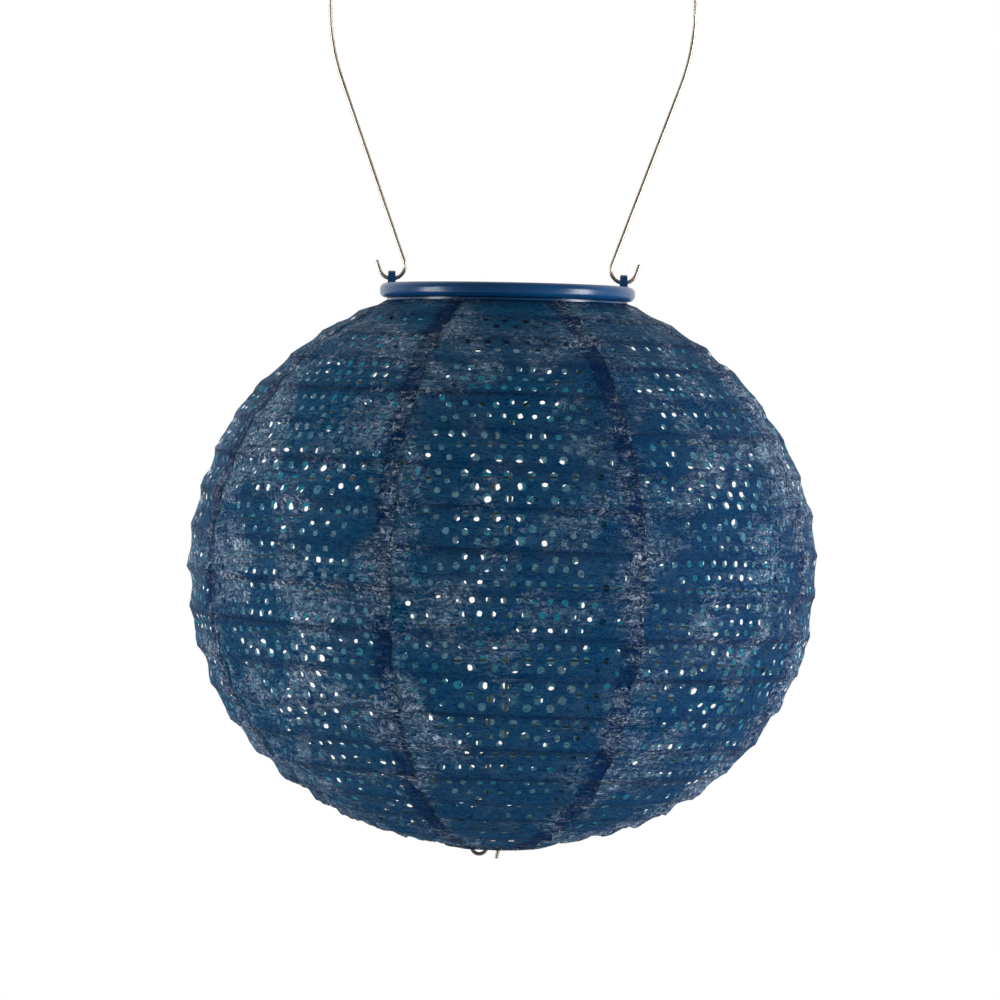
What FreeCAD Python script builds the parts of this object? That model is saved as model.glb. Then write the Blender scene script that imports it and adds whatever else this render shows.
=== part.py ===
import math
import os

import FreeCAD
import Part
import Sketcher
from FreeCAD import Placement, Rotation, Vector

# Hanging accordion lantern. The frame's origin is the point that a hook bears on, inside the notch
# at the top of the bail. +Z is up and +X runs along the line through the cap's two lugs.
# Heights called "level" are measured from the top of the cap's rim, negative downwards.

document = FreeCAD.newDocument("accordion_lantern")
sheet = document.addObject("Spreadsheet::Sheet", "dims")

DRIVING = [
    ("hang_height", 232.0, "hang point above the rim's top"),
    ("shade_width", 304.8, "widest diameter of the shade"),
    ("equator_level", -136.2, "level of the widest part"),
    ("upper_rise", 138.5, "half height of the ellipse above the widest part"),
    ("lower_drop", 136.2, "half height of the fuller curve below it"),
    ("lower_power", 2.15, "how full the lower curve is, 2 being an ellipse"),
    ("fabric_gauge", 0.4, "fabric thickness"),
    ("fabric_top", -8.6, "level of the fabric's top edge"),
    ("fabric_hole", 26.0, "radius of the fabric's bottom opening"),
    ("gore_angle", 44.9, "width of a gore about the axis"),
    ("first_seam", 25.4, "azimuth of the first seam"),
    ("rib_gauge", 0.6, "radius of the spiral rib wire"),
    ("rib_inset", 1.25, "rib centreline inside the fabric's outer face"),
    ("rib_start", 13.8, "length along the outline to the rib's first -X crossing"),
    ("rib_pitch", 19.55, "length along the outline between turns"),
    ("bail_gauge", 0.9, "radius of the bail wire"),
    ("lug_reach", 56.3, "lug centre from the axis"),
    ("lug_level", 2.2, "level of the bail's pivot axis"),
    ("bail_arch", 88.4, "radius of the bail's main arch"),
    ("arch_level", 133.3, "level of the arch's centre"),
    ("notch_round", 6.0, "radius of the notch's bends"),
    ("notch_reach", 12.0, "shoulder bend centre from the axis"),
    ("notch_level", 226.9, "level of the notch's bend centres"),
    ("rim_reach", 62.0, "cap rim radius"),
    ("rim_depth", 7.0, "cap rim height"),
    ("rim_round", 3.0, "rounding of the rim's edges"),
    ("plate_drop", 1.0, "cap plate below the rim's top"),
    ("plate_gauge", 4.0, "cap plate thickness"),
    ("skirt_reach", 52.0, "cap skirt outer radius"),
    ("skirt_gauge", 2.0, "cap skirt wall"),
    ("skirt_bottom", 15.0, "depth of the skirt below the rim's top"),
    ("tab_reach", 54.6, "bayonet tab outer radius"),
    ("tab_gauge", 1.5, "bayonet tab height"),
    ("tab_angle", 20.0, "bayonet tab width about the axis"),
    ("cell_side", 54.0, "solar cell side"),
    ("cell_gauge", 1.6, "solar cell thickness"),
    ("pocket_side", 56.0, "cap pocket side"),
    ("pocket_depth", 2.6, "cap pocket depth"),
    ("window_side", 55.6, "window side"),
    ("window_gauge", 0.9, "window thickness"),
    ("collar_reach", 58.5, "shade collar outer radius"),
    ("collar_bore", 55.2, "shade collar inner radius"),
    ("collar_top", 7.4, "collar top below the rim's top"),
    ("collar_bottom", 16.0, "collar bottom below the rim's top"),
    ("ledge_bore", 52.5, "inner radius of the collar's ledges"),
    ("hoop_reach", 59.7, "top hoop centreline radius"),
    ("hoop_gauge", 0.7, "top hoop wire radius"),
    ("hoop_level", -10.3, "level of the top hoop"),
    ("cup_reach", 34.0, "housing cup outer radius"),
    ("cup_wall", 1.6, "housing wall"),
    ("cup_floor", 29.0, "housing floor below the rim's top"),
    ("flange_reach", 45.0, "housing flange radius"),
    ("flange_gauge", 2.0, "housing flange thickness"),
    ("flange_top", 9.0, "housing flange below the rim's top"),
    ("screw_circle", 40.0, "screw circle radius"),
    ("board_reach", 31.0, "circuit board radius"),
    ("board_gauge", 1.6, "circuit board thickness"),
    ("board_top", 10.6, "circuit board below the rim's top"),
    ("cell_round", 7.1, "battery radius"),
    ("cell_length", 50.5, "battery length"),
    ("cell_level", -19.9, "level of the battery's axis"),
    ("cell_offset", 10.0, "battery axis behind the lantern's axis"),
    ("led_round", 2.5, "diode radius"),
    ("led_spread", 5.0, "diode from the middle of the lens"),
    ("lens_offset", -13.0, "lens centre in front of the axis"),
    ("lens_round", 12.0, "lens radius"),
    ("lens_height", 5.5, "lens height"),
    ("lens_wall", 1.2, "lens wall"),
    ("ring_reach", 24.4, "bottom ring centreline radius"),
    ("ring_gauge", 1.0, "bottom ring wire radius"),
    ("ring_level", -271.4, "level of the bottom ring"),
    ("prop_gauge", 0.9, "expander wire radius"),
    ("prop_plane", 2.3, "expander's plane behind the axis"),
]
for row, (alias, value, note) in enumerate(DRIVING, start=1):
    sheet.set(f"A{row}", alias)
    sheet.set(f"B{row}", str(value))
    sheet.set(f"C{row}", note)
    sheet.setAlias(f"B{row}", alias)
document.recompute()

X_AXIS = Vector(1, 0, 0)
Y_AXIS = Vector(0, 1, 0)
Z_AXIS = Vector(0, 0, 1)
ORIGIN = Vector(0, 0, 0)
sub_parts = []


def dim(alias):
    """A driving dimension, read from the sheet."""
    return float(sheet.get(alias))


def formula(text):
    """A FreeCAD expression from a text that names driving dimensions in braces."""
    return text.replace("{", "<<dims>>.").replace("}", "")


def bind(thing, **sizes):
    """Binds properties to formulas; a double underscore in a name stands for a dot."""
    for name, text in sizes.items():
        thing.setExpression(name.replace("__", "."), formula(text))
    return thing


def place(thing, x="0", y="0", level="0"):
    """Places a thing at x, y and a level below or above the rim's top."""
    return bind(
        thing,
        Placement__Base__x=f"1 mm * ({x})",
        Placement__Base__y=f"1 mm * ({y})",
        Placement__Base__z=f"1 mm * ({level} - {{hang_height}})",
    )


def add(kind, name):
    return document.addObject(kind, name)


def sub_part(thing, node):
    """Names a finished sub-part, which is written to a file of that name."""
    thing.Label = node
    sub_parts.append(thing)
    return thing


def rod(name, radius, length, x="0", y="0", level="0", along=Z_AXIS):
    """A round bar that starts at a place and runs along a direction."""
    made = bind(add("Part::Cylinder", name), Radius=radius, Height=length)
    made.Placement = Placement(ORIGIN, Rotation(Z_AXIS, along))
    return place(made, x, y, level)


def slab(name, length, width, height, x="0", y="0", level="0"):
    """A box centred on x and y, standing on a level."""
    made = bind(add("Part::Box", name), Length=length, Width=width, Height=height)
    return place(made, f"({x}) - ({length}) / 2", f"({y}) - ({width}) / 2", level)


def tube(name, outer, inner, height, x="0", y="0", level="0"):
    wide = rod(name + "_outside", outer, height, x, y, level)
    bore = rod(name + "_bore", inner, height, x, y, level)
    return cut(name, wide, bore)


def sector(name, outer, inner, height, start, angle, level):
    """Part of a ring, from a start angle about the axis."""
    parts = []
    for part, radius in (("outside", outer), ("bore", inner)):
        made = bind(add("Part::Cylinder", f"{name}_{part}"), Radius=radius, Height=height, Angle=angle)
        made.Placement = Placement(ORIGIN, Rotation(Z_AXIS, start))
        parts.append(place(made, level=level))
    return cut(name, *parts)


def cut(name, base, tool):
    made = add("Part::Cut", name)
    made.Base = base
    made.Tool = tool
    return made


def fuse(name, *shapes):
    made = add("Part::MultiFuse", name)
    made.Shapes = list(shapes)
    return made


def group(name, *shapes):
    """Several separate solids that share one node."""
    made = add("Part::Compound", name)
    made.Links = list(shapes)
    return made


def body(name):
    return add("PartDesign::Body", name)


def plane(host, role):
    return next(found for found in host.Origin.OriginFeatures if found.Role == role)


def outline(host, name, role, corners):
    """A closed sketch whose corners are pairs of sheet formulas, none of them negative."""
    sketch = host.newObject("Sketcher::SketchObject", name)
    sketch.AttachmentSupport = [(plane(host, role), "")]
    sketch.MapMode = "FlatFace"
    values = [[formula(text) for text in corner] for corner in corners]
    guess = [[float(sketch.evalExpression(text)) for text in pair] for pair in values]
    count = len(corners)
    for index in range(count):
        start = Vector(*guess[index], 0)
        end = Vector(*guess[(index + 1) % count], 0)
        sketch.addGeometry(Part.LineSegment(start, end), False)
    for index in range(count):
        after = (index + 1) % count
        sketch.addConstraint(Sketcher.Constraint("Coincident", index, 2, after, 1))
    for index, pair in enumerate(values):
        kinds = ("DistanceX", "DistanceY")
        for kind, axis, text, value in zip(kinds, (-2, -1), pair, guess[index]):
            if abs(value) < 1e-9:
                sketch.addConstraint(Sketcher.Constraint("PointOnObject", index, 1, axis))
            else:
                number = sketch.addConstraint(Sketcher.Constraint(kind, -1, 1, index, 1, value))
                sketch.setExpression(f"Constraints[{number}]", text)
    return sketch


def turned(host, name, corners):
    """A solid of revolution about the body's vertical axis, from an outline of (radius, height)."""
    sketch = outline(host, name + "_outline", "XZ_Plane", corners)
    made = host.newObject("PartDesign::Revolution", name)
    made.Profile = sketch
    made.ReferenceAxis = (sketch, ["V_Axis"])
    made.Angle = 360
    document.recompute()
    return made


def edges_where(feature, wanted):
    """Names of the edges that pass a test."""
    return [f"Edge{n}" for n, edge in enumerate(feature.Shape.Edges, start=1) if wanted(edge)]


def at_radius(radius):
    """A test for circular edges of one radius."""
    return lambda edge: isinstance(edge.Curve, Part.Circle) and abs(edge.Curve.Radius - radius) < 1e-6


def rounded_path(points):
    """A wire of straight runs with tangent arcs. Each point is (x, y, z, bend radius)."""
    places = [Vector(*point[:3]) for point in points]
    edges = []
    start = places[0]
    for index in range(1, len(points) - 1):
        here = places[index]
        back = (places[index - 1] - here).normalize()
        ahead = (places[index + 1] - here).normalize()
        half = back.getAngle(ahead) / 2
        reach = points[index][3] / math.tan(half)
        middle = (back + ahead).normalize()
        centre = here + middle * (points[index][3] / math.sin(half))
        first = here + back * reach
        last = here + ahead * reach
        top = centre - middle * points[index][3]
        if (first - start).Length > 1e-6:
            edges.append(Part.LineSegment(start, first).toShape())
        edges.append(Part.Arc(first, top, last).toShape())
        start = last
    edges.append(Part.LineSegment(start, places[-1]).toShape())
    return Part.Wire(edges)


def bent_wire(node, path, gauge):
    """A round wire swept along a path of lines and tangent arcs."""
    spine = add("Part::Feature", node + "_path")
    spine.Shape = path
    first = path.Edges[0]
    start = first.valueAt(first.FirstParameter)
    heading = first.tangentAt(first.FirstParameter)
    section = bind(add("Part::Circle", node + "_section"), Radius=gauge)
    section.Placement = Placement(start, Rotation(Z_AXIS, heading))
    made = add("Part::Sweep", node)
    made.Sections = [section]
    made.Spine = (spine, [f"Edge{n}" for n in range(1, len(path.Edges) + 1)])
    made.Solid = True
    made.Frenet = False
    wires.append((made, path.Length, gauge))
    return sub_part(made, node)


wires = []


# The shade's outline, which the gores and the spiral rib follow.


def outline_radius(level):
    """Outer radius of the fabric at a level."""
    drop = abs(level - dim("equator_level"))
    if level > dim("equator_level"):
        return dim("shade_width") / 2 * math.sqrt(max(0, 1 - (drop / dim("upper_rise")) ** 2))
    power = dim("lower_power")
    return dim("shade_width") / 2 * max(0, 1 - (drop / dim("lower_drop")) ** power) ** (1 / power)


def outline_point(turn):
    """Point (radius, level) of the outline. The turn is 0 at the top pole and 90 at the widest part."""
    angle = math.radians(turn)
    if turn <= 90:
        return (
            dim("shade_width") / 2 * math.sin(angle),
            dim("equator_level") + dim("upper_rise") * math.cos(angle),
        )
    share = 2 / dim("lower_power")
    return (
        dim("shade_width") / 2 * math.sin(angle) ** share,
        dim("equator_level") - dim("lower_drop") * abs(math.cos(angle)) ** share,
    )


def turn_at_radius(radius, below):
    """The turn at which the outline has a radius, above or below the widest part."""
    ratio = 2 * radius / dim("shade_width")
    if below:
        return 180 - math.degrees(math.asin(ratio ** (dim("lower_power") / 2)))
    return math.degrees(math.asin(ratio))


FIRST_TURN = turn_at_radius(outline_radius(dim("fabric_top")), False)
LAST_TURN = turn_at_radius(dim("fabric_hole"), True)
OUTLINE_STEP = 0.25


def inset_point(turn, inset):
    """The outline's point moved inwards, square to the outline."""
    before = outline_point(turn - OUTLINE_STEP / 2)
    after = outline_point(turn + OUTLINE_STEP / 2)
    run = math.hypot(after[0] - before[0], after[1] - before[1])
    radius, level = outline_point(turn)
    return (
        radius + inset * (after[1] - before[1]) / run,
        level - inset * (after[0] - before[0]) / run,
    )


def outline_walk():
    """Turns along the outline with the length walked from the fabric's top edge."""
    turns = [FIRST_TURN]
    lengths = [0.0]
    while turns[-1] < LAST_TURN:
        before = outline_point(turns[-1])
        turns.append(turns[-1] + OUTLINE_STEP)
        after = outline_point(turns[-1])
        lengths.append(lengths[-1] + math.hypot(after[0] - before[0], after[1] - before[1]))
    return turns, lengths


WALK = outline_walk()


def turn_at_length(length):
    turns, lengths = WALK
    for index in range(1, len(turns)):
        if lengths[index] >= length:
            share = (length - lengths[index - 1]) / (lengths[index] - lengths[index - 1])
            return turns[index - 1] + share * OUTLINE_STEP
    return turns[-1]


# The bail: a wire with a hook at each lug, straight legs leaning out, an arch and a hanging notch.

HOOK_ROUND = 6.3
HOOK_TAIL = 5.0
LEG_LEAN = 20.0
LEG_ROUND = 103.0


def bail_half():
    """Centreline points of the right half from the hook's tip to the notch's bottom, in order."""
    centre = Vector(dim("lug_reach"), 0, dim("lug_level") + HOOK_ROUND)

    def on_hook(angle):
        turn = math.radians(angle)
        return centre + Vector(HOOK_ROUND * math.cos(turn), 0, HOOK_ROUND * math.sin(turn))

    tip_angle = -LEG_LEAN + 1
    hook_start = on_hook(tip_angle)
    tip_heading = Vector(-math.sin(math.radians(tip_angle)), 0, math.cos(math.radians(tip_angle)))
    tip = hook_start + tip_heading * HOOK_TAIL
    leg_start = on_hook(180 - LEG_LEAN)
    lean = math.radians(LEG_LEAN)
    arch_start = Vector(dim("bail_arch"), 0, dim("arch_level"))

    def on_bend(turn):
        return arch_start - Vector(1 - math.cos(turn), 0, math.sin(turn)) * LEG_ROUND

    return tip, hook_start, on_hook(-90), leg_start, on_bend(lean), on_bend(lean / 2), arch_start


def curve(points):
    """A straight edge through two points, or an arc through three."""
    kind = Part.LineSegment if len(points) == 2 else Part.Arc
    return kind(*points).toShape()


def mirrored(points):
    """The same curve on the other side of the YZ plane, run the other way."""
    return [Vector(-point.x, point.y, point.z) for point in reversed(points)]


def bail_path():
    tip, hook_start, hook_bottom, leg_start, bend_start, bend_middle, arch_start = bail_half()
    shoulder = Vector(dim("notch_reach"), 0, dim("notch_level"))
    middle = Vector(0, 0, dim("arch_level"))
    inward = (middle - shoulder).normalize()
    arch_end = shoulder + inward * dim("notch_round")
    arch_middle = middle + Vector(dim("bail_arch"), 0, dim("bail_arch")) / math.sqrt(2)
    notch_side = shoulder - X_AXIS * dim("notch_round")
    notch_top = Vector(0, 0, dim("notch_level") + dim("notch_round"))
    shoulder_middle = shoulder + (inward - X_AXIS).normalize() * dim("notch_round")
    right = [
        [tip, hook_start],
        [hook_start, hook_bottom, leg_start],
        [leg_start, bend_start],
        [bend_start, bend_middle, arch_start],
        [arch_start, arch_middle, arch_end],
        [arch_end, shoulder_middle, notch_side],
    ]
    notch = [notch_side, notch_top, *mirrored([notch_side])]
    left = [mirrored(points) for points in reversed(right)]
    return Part.Wire([curve(points) for points in [*right, notch, *left]])


def lowered(path):
    """Moves a path from levels to the hanging frame."""
    path.translate(Vector(0, 0, -dim("hang_height")))
    return path


bent_wire("bail_wire", lowered(bail_path()), "{bail_gauge}")

# The cap: rim, plate with the solar cell's pocket, skirt, bayonet tabs, screw bosses and lugs.
# Heights in its outline start at the skirt's bottom.

cap = body("cap")
place(cap, level="-{skirt_bottom}")
plate_low = "{skirt_bottom} - {plate_drop} - {plate_gauge}"
plate_high = "{skirt_bottom} - {plate_drop}"
rim_low = "{skirt_bottom} - {rim_depth}"
DISH_EDGE = 58.5
DISH_SLOPE = 1.5
cap_core = turned(
    cap,
    "cap_core",
    [
        ("0", plate_low),
        ("{skirt_reach} - {skirt_gauge}", plate_low),
        ("{skirt_reach} - {skirt_gauge}", "0"),
        ("{skirt_reach}", "0"),
        ("{skirt_reach}", rim_low),
        ("{rim_reach}", rim_low),
        ("{rim_reach}", "{skirt_bottom}"),
        (f"{DISH_EDGE}", "{skirt_bottom}"),
        (f"{DISH_EDGE - DISH_SLOPE}", plate_high),
        ("0", plate_high),
    ],
)
rounded_rim = cap.newObject("PartDesign::Fillet", "rounded_rim")
rounded_rim.Base = (cap_core, edges_where(cap_core, at_radius(dim("rim_reach"))))
bind(rounded_rim, Radius="{rim_round}")
document.recompute()

pocket_floor = "-{plate_drop} - {pocket_depth}"
pocket = ("{pocket_side}", "{pocket_side}", "{pocket_depth} + 1")
pocket_cut = slab("pocket_cut", *pocket, level=pocket_floor)
LEAD_X = 6.0
LEAD_Y = 20.0
lead_holes = []
for side in (-1, 1):
    below_plate = "-{plate_drop} - {plate_gauge} - 1"
    lead_holes.append(rod(f"lead_hole_{side}", "0.8", "6", f"{side * LEAD_X}", f"{LEAD_Y}", below_plate))
BOSS_ANGLES = (45, 135, 225, 315)
BOSS_REACH = 3.0
BOSS_BORE = 1.2
BOSS_HEIGHT = 4.5


def on_circle(radius, angle):
    """Formulas of x and y at an angle on a circle."""
    return f"{radius} * cos({angle} deg)", f"{radius} * sin({angle} deg)"


bosses = []
for number, angle in enumerate(BOSS_ANGLES, start=1):
    x, y = on_circle("{screw_circle}", angle)
    sizes = (f"{BOSS_REACH}", f"{BOSS_BORE}", f"{BOSS_HEIGHT}")
    bosses.append(tube(f"boss_{number}", *sizes, x, y, "-{flange_top}"))

TAB_CENTRES = (90, 210, 330)
tabs = []
for number, centre in enumerate(TAB_CENTRES, start=1):
    start = centre - dim("tab_angle") / 2
    reach = ("{tab_reach}", "{skirt_reach} - 0.5", "{tab_gauge}")
    tabs.append(sector(f"tab_{number}", *reach, start, "{tab_angle}", "-{skirt_bottom}"))

LUG_WIDTH = 8.0
LUG_GAUGE = 4.0
LUG_TAPER = 0.3
LUG_FLAT = 0.4
LUG_TOP = 6.1
LUG_FOOT = 2.5
LUG_HOLE = 1.6


def is_top_end(edge, half, tall):
    """True for an edge along X at the plate's top, front or back."""
    at_top = all(abs(end.Z - tall) < 1e-6 for end in edge.Vertexes)
    depth = abs(sum(end.Y for end in edge.Vertexes))
    return at_top and abs(depth - 2 * half) < 1e-6


def lug(name, side):
    """A tapered upright plate with a round top and the bail's pivot hole along X."""
    host = body(name)
    half = LUG_WIDTH / 2
    tall = LUG_TOP + LUG_FOOT
    top = [(f"{x}", f"{tall}") for x in (LUG_GAUGE - LUG_TAPER, LUG_TAPER)]
    corners = [("0", "0"), (f"{LUG_GAUGE}", "0"), *top]
    sketch = outline(host, name + "_outline", "XZ_Plane", corners)
    made = host.newObject("PartDesign::Pad", name + "_plate")
    made.Profile = sketch
    made.Midplane = True
    made.Length = LUG_WIDTH
    document.recompute()
    top_ends = edges_where(made, lambda edge: is_top_end(edge, half, tall))
    rounded = host.newObject("PartDesign::Fillet", name + "_round")
    rounded.Base = (made, top_ends)
    rounded.Radius = half - LUG_FLAT
    place(host, x=f"{side} * {{lug_reach}} - {LUG_GAUGE / 2}", level=f"-{LUG_FOOT}")
    document.recompute()
    hole_start = f"{side} * {{lug_reach}} - 3"
    hole = rod(name + "_hole", f"{LUG_HOLE}", "6", hole_start, level="{lug_level}", along=X_AXIS)
    return cut(name + "_drilled", host, hole)


lugs = [lug("left_lug", -1), lug("right_lug", 1)]
cap_solid = fuse("cap_solid", cap, *bosses, *tabs, *lugs)
cap_shell = cut("cap_shell", cap_solid, fuse("cap_cuts", pocket_cut, *lead_holes))
sub_part(cap_shell, "cap_shell")

# The solar cell, its gasket and its window lie in the cap's pocket.

cell_high = f"{pocket_floor} + {{cell_gauge}}"
cell = slab("cell", "{cell_side}", "{cell_side}", "{cell_gauge}", level=pocket_floor)
sub_part(cell, "solar_panel")
window = slab("window", "{window_side}", "{window_side}", "{window_gauge}", level=cell_high)
sub_part(window, "panel_window")
GASKET_BORE = "{cell_side} + 0.2"
gasket = cut(
    "gasket",
    slab("gasket_outside", "{window_side}", "{window_side}", "{cell_gauge}", level=pocket_floor),
    slab("gasket_bore", GASKET_BORE, GASKET_BORE, "{cell_gauge}", level=pocket_floor),
)
sub_part(gasket, "panel_gasket")
lead_drop = "{board_top} - {plate_drop} - {pocket_depth}"
leads = []
for side in (-1, 1):
    leads.append(rod(f"lead_{side}", "0.5", lead_drop, f"{side * LEAD_X}", f"{LEAD_Y}", "-{board_top}"))
sub_part(group("leads", *leads), "panel_leads")

# The housing: a cup with a flange, screwed to the cap's bosses.

housing = body("housing")
place(housing, level="-{cup_floor}")
cup_inside = "{cup_reach} - {cup_wall}"
flange_low = "{cup_floor} - {flange_top} - {flange_gauge}"
flange_high = "{cup_floor} - {flange_top}"
turned(
    housing,
    "housing_core",
    [
        ("0", "0"),
        ("{cup_reach}", "0"),
        ("{cup_reach}", flange_low),
        ("{flange_reach}", flange_low),
        ("{flange_reach}", flange_high),
        (cup_inside, flange_high),
        (cup_inside, "{cup_wall}"),
        ("0", "{cup_wall}"),
    ],
)
floor_high = "-{cup_floor} + {cup_wall}"
POSTS = ((0, 27), (-23, -14), (14, -24))
post_height = "{cup_floor} - {cup_wall} - {board_top} - {board_gauge}"
posts = []
for number, (x, y) in enumerate(POSTS, start=1):
    posts.append(rod(f"post_{number}", "2", post_height, f"{x}", f"{y}", floor_high))
below_floor = "-{cup_floor} - 1"
RAIL_LENGTH = 44.0
RAIL_DROP = 2.6
rails = []
for side in (-1, 1):
    back = f"{{cell_offset}} + {side * 9.1}"
    lip = f"{{cell_offset}} + {side * 8.6}"
    rail_low = f"-{{cup_floor}} - {RAIL_DROP}"
    rails.append(slab(f"rail_{side}", f"{RAIL_LENGTH}", "1.2", f"{RAIL_DROP}", "0", back, rail_low))
    rails.append(slab(f"rail_lip_{side}", f"{RAIL_LENGTH}", "2.2", "0.8", "0", lip, rail_low))
SWITCH_X = 22.0
SWITCH_Y = -12.0
SLIDER_TRAVEL = 4.0
SLIDER_LENGTH = 3.0
slot_length = SLIDER_TRAVEL + SLIDER_LENGTH + 0.4
switch_slot = (f"{slot_length}", "2.8", "3", f"{SWITCH_X}", f"{SWITCH_Y}", below_floor)
housing_cuts = [
    slab("battery_opening", "48", "14.6", "3", "0", "{cell_offset}", below_floor),
    slab("switch_slot", *switch_slot),
]
for side in (-1, 1):
    x = f"{side} * {{led_spread}}"
    housing_cuts.append(rod(f"led_hole_{side}", "2.7", "3", x, "{lens_offset}", below_floor))
for number, angle in enumerate(BOSS_ANGLES, start=1):
    x, y = on_circle("{screw_circle}", angle)
    housing_cuts.append(rod(f"flange_hole_{number}", "1.5", "4", x, y, "-{flange_top} - 3"))
housing_solid = fuse("housing_solid", housing, *posts, *rails)
sub_part(cut("housing_cut", housing_solid, fuse("housing_cuts", *housing_cuts)), "light_housing")

SCREW_HEAD = 2.6
SCREW_SHANK = 1.15
HEAD_HEIGHT = 1.6
SHANK_LENGTH = 5.5
screws = []
for number, angle in enumerate(BOSS_ANGLES, start=1):
    x, y = on_circle("{screw_circle}", angle)
    seat = "-{flange_top} - {flange_gauge}"
    head = rod(f"screw_head_{number}", f"{SCREW_HEAD}", f"{HEAD_HEIGHT}", x, y, f"{seat} - {HEAD_HEIGHT}")
    shank = rod(f"screw_shank_{number}", f"{SCREW_SHANK}", f"{SHANK_LENGTH}", x, y, seat)
    screws.append(fuse(f"screw_{number}", head, shank))
sub_part(group("screws", *screws), "housing_screws")

# The electronics: board, diodes and lens, battery with its contacts and door, and the switch.

board_low = "-{board_top} - {board_gauge}"
sub_part(rod("board", "{board_reach}", "{board_gauge}", level=board_low), "circuit_board")

LED_BODY = 6.1
LED_LOW = 28.1
LEG_SIDE = 0.5
LEG_SPREAD = 1.27
for node, side in (("led_left", -1), ("led_right", 1)):
    x = f"{side} * {{led_spread}}"
    barrel = rod(node + "_barrel", "{led_round}", f"{LED_BODY}", x, "{lens_offset}", f"-{LED_LOW}")
    tip = bind(add("Part::Sphere", node + "_tip"), Radius="{led_round}", Angle2="0")
    place(tip, x, "{lens_offset}", f"-{LED_LOW}")
    leg_sizes = (f"{LEG_SIDE}", f"{LEG_SIDE}", f"{LED_LOW - LED_BODY} - {{board_top}} - {{board_gauge}}")
    legs = []
    for leg in (-1, 1):
        leg_place = (f"{x} + {leg * LEG_SPREAD}", "{lens_offset}", f"-{LED_LOW - LED_BODY}")
        legs.append(slab(f"{node}_leg_{leg}", *leg_sizes, *leg_place))
    sub_part(fuse(node + "_solid", barrel, tip, *legs), node)

lens_ball = (dim("lens_round") ** 2 + dim("lens_height") ** 2) / (2 * dim("lens_height"))
lens_centre = f"-{{cup_floor}} + {lens_ball} - {{lens_height}}"
lens_balls = []
for name, radius in (("lens_outside", lens_ball), ("lens_inside", lens_ball - dim("lens_wall"))):
    ball = add("Part::Sphere", name)
    ball.Radius = radius
    ball.Angle2 = -math.degrees(math.asin((lens_ball - dim("lens_height")) / radius))
    lens_balls.append(place(ball, "0", "{lens_offset}", lens_centre))
sub_part(cut("lens", *lens_balls), "led_lens")

CELL_START = -24.2
BUTTON_HEIGHT = 1.0
BUTTON_REACH = 2.5
cell_axis = ("{cell_offset}", "{cell_level}", X_AXIS)
barrel_length = f"{{cell_length}} - {BUTTON_HEIGHT}"
barrel = rod("cell_barrel", "{cell_round}", barrel_length, f"{CELL_START}", *cell_axis)
button_start = f"{CELL_START} + {{cell_length}} - {BUTTON_HEIGHT}"
button = rod("cell_button", f"{BUTTON_REACH}", f"{BUTTON_HEIGHT}", button_start, *cell_axis)
sub_part(fuse("cell_solid", barrel, button), "battery")

SPRING_LENGTH = 3.6
SPRING_TURNS = 3
SPRING_REACH = 3.4
SPRING_WIRE = 0.35
coil = Part.makeHelix(SPRING_LENGTH / SPRING_TURNS, SPRING_LENGTH, SPRING_REACH)
coil_section = Part.Wire(Part.Circle(Vector(SPRING_REACH, 0, 0), Y_AXIS, SPRING_WIRE).toShape())
spring = add("Part::Feature", "spring")
spring.Shape = coil.makePipeShell([coil_section], True, True)
SPRING_GAP = 0.05
spring_start = CELL_START - SPRING_LENGTH - SPRING_WIRE - SPRING_GAP
spring_base = Vector(spring_start, dim("cell_offset"), dim("cell_level") - dim("hang_height"))
spring.Placement = Placement(spring_base, Rotation(Z_AXIS, X_AXIS))
sub_part(spring, "battery_spring")

contact_x = f"{CELL_START} + {{cell_length}} + 0.2"
contact = slab("contact", "0.4", "10", "9", contact_x, "{cell_offset}", "{cell_level} - 4.5")
sub_part(contact, "battery_contact")

DOOR_GAUGE = 1.6
DOOR_GAP = 0.1
GROOVE_START = -20.0
GROOVE_PITCH = 3.0
door_low = f"-{{cup_floor}} - {DOOR_GAUGE} - {DOOR_GAP}"
door_plate = slab("door_plate", "54", "16.6", f"{DOOR_GAUGE}", "0", "{cell_offset}", door_low)
grooves = []
for number in range(4):
    groove_x = f"{GROOVE_START + GROOVE_PITCH * number}"
    groove_place = (groove_x, "{cell_offset}", f"{door_low} - 0.5")
    grooves.append(slab(f"door_groove_{number}", "1.2", "10", "1", *groove_place))
sub_part(cut("door", door_plate, fuse("door_grooves", *grooves)), "battery_door")

switch_block = slab("switch_block", "10", "5", "5", f"{SWITCH_X}", f"{SWITCH_Y}", floor_high)
groove_size = (f"{slot_length}", "2.8", "2")
switch_groove = slab("switch_groove", *groove_size, f"{SWITCH_X}", f"{SWITCH_Y}", floor_high)
sub_part(cut("switch_cut", switch_block, switch_groove), "switch_body")
slider_place = (f"{SWITCH_X - SLIDER_TRAVEL / 2}", f"{SWITCH_Y}", "-{cup_floor} - 2")
sub_part(slab("slider", f"{SLIDER_LENGTH}", "2.4", "5", *slider_place), "switch_slider")

# The shade's collar: a ring with ledges that rest on the cap's tabs, stops, a flange for the top
# hoop and two saddles for the expander.

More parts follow.
